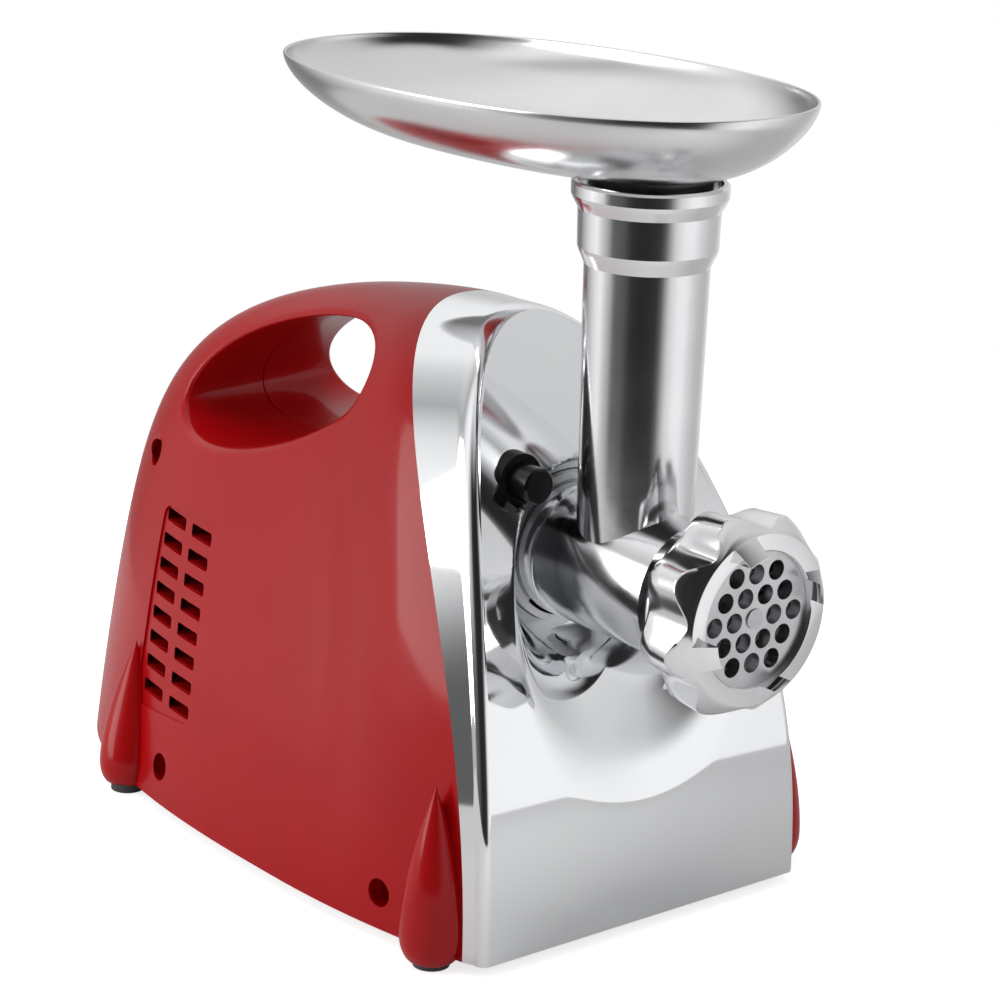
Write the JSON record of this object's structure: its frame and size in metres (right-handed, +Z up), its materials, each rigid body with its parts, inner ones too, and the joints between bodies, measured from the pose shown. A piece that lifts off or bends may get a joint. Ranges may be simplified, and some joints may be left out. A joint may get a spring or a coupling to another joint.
{
  "type": "electric meat grinder",
  "caption": "Domestic electric meat grinder: red housing with carry handle, bright front, screw-on grinding head with auger, knife and plate, feed tube and oval tray.",
  "frame": {"origin": "middle of the footprint at table height", "axes": "+Z up through the tray, -Y towards the front where the mince leaves, +X to the side with the switch"},
  "size_m": [0.183, 0.3544, 0.2972],
  "materials": {
    "red_shell": "gloss",
    "chrome_trim": "polished",
    "black_plastic": "satin",
    "black_gloss": "gloss",
    "foot_rubber": "matte",
    "screw_steel": "zinc plated",
    "cast_alloy": "die cast",
    "polished_alloy": "polished",
    "bronze": "sintered",
    "gear_steel": "machined",
    "gear_nylon": "moulded",
    "lamination": "stacked sheet",
    "copper": "enamelled wire",
    "carbon": "pressed carbon",
    "blade_steel": "ground",
    "tray_steel": "polished"
  },
  "bodies": {
    "housing": {"housing_right_shell": "red_shell", "housing_left_shell": "red_shell", "front_panel": "chrome_trim", "base_plate": "black_plastic", "rubber_feet": "foot_rubber", "side_screws": "screw_steel", "base_screws": "screw_steel", "cord_gland": "black_plastic", "switch_frame": "black_plastic", "gearbox_front": "cast_alloy", "gearbox_cover": "black_plastic", "gearbox_screws": "screw_steel", "output_bush": "bronze", "gear_shafts": "gear_steel", "motor_bearings": "bronze", "stator_core": "lamination", "field_coils": "copper", "carbon_brushes": "carbon", "brush_bracket": "black_plastic", "motor_bolts": "screw_steel", "button_guide": "black_plastic", "button_spring": "screw_steel"},
    "rotor": {"motor_shaft": "gear_steel", "rotor_core": "lamination", "rotor_windings": "copper", "commutator": "copper", "cooling_fan": "black_plastic"},
    "first_gear": {"first_gear": "gear_nylon"},
    "middle_gear": {"middle_gear": "gear_nylon"},
    "spindle": {"output_gear": "gear_steel", "auger": "cast_alloy", "cutting_knife": "blade_steel"},
    "head": {"grinding_barrel": "polished_alloy", "auger_washer": "gear_nylon"},
    "plate": {"cutting_plate": "blade_steel"},
    "nut": {"ring_nut": "polished_alloy"},
    "tray": {"tray": "tray_steel"},
    "button": {"release_button": "black_gloss"},
    "rocker": {"power_rocker": "black_gloss"}
  },
  "joints": [
    {"name": "rotor_spin", "type": "hinge", "parent": "housing", "child": "rotor", "pos_m": [0, 0.0252, 0.052], "axis": [0, 1, 0], "continuous": true},
    {"name": "first_gear_spin", "type": "hinge", "parent": "housing", "child": "first_gear", "pos_m": [0.02835, -0.0348, 0.05359], "axis": [0, 1, 0], "continuous": true},
    {"name": "middle_gear_spin", "type": "hinge", "parent": "housing", "child": "middle_gear", "pos_m": [0, -0.0448, 0.08], "axis": [0, 1, 0], "continuous": true},
    {"name": "auger_spin", "type": "hinge", "parent": "housing", "child": "spindle", "pos_m": [0, -0.1148, 0.13], "axis": [0, 1, 0], "continuous": true},
    {"name": "head_twist", "type": "hinge", "parent": "housing", "child": "head", "pos_m": [0, -0.1148, 0.13], "axis": [0, 1, 0], "range_deg": [0, 30]},
    {"name": "nut_turn", "type": "hinge", "parent": "plate", "child": "nut", "pos_m": [0, -0.1648, 0.13], "axis": [0, -1, 0], "range_deg": [0, 1080]},
    {"name": "plate_travel", "type": "slide", "parent": "head", "child": "plate", "axis": [0, -1, 0], "range_m": [0, 0.0091]},
    {"name": "tray_lift", "type": "slide", "parent": "head", "child": "tray", "axis": [0, 0, 1], "range_m": [0, 0.035]},
    {"name": "button_push", "type": "slide", "parent": "housing", "child": "button", "axis": [0, 1, 0], "range_m": [0, 0.004], "stiffness_N_per_m": 500, "springref_m": -0.004, "deforming": ["button_spring"]},
    {"name": "rocker_tilt", "type": "hinge", "parent": "housing", "child": "rocker", "pos_m": [0.07621, -0.0698, 0.06588], "axis": [0, 1, 0], "range_deg": [0, 18]}
  ],
  "couplings": [
    {"joint": "first_gear_spin", "follows": "rotor_spin", "ratio": -0.18333},
    {"joint": "middle_gear_spin", "follows": "rotor_spin", "ratio": 0.044},
    {"joint": "auger_spin", "follows": "rotor_spin", "ratio": -0.013895},
    {"joint": "plate_travel", "follows": "nut_turn", "m_per_rad": 0.00047746}
  ]
}
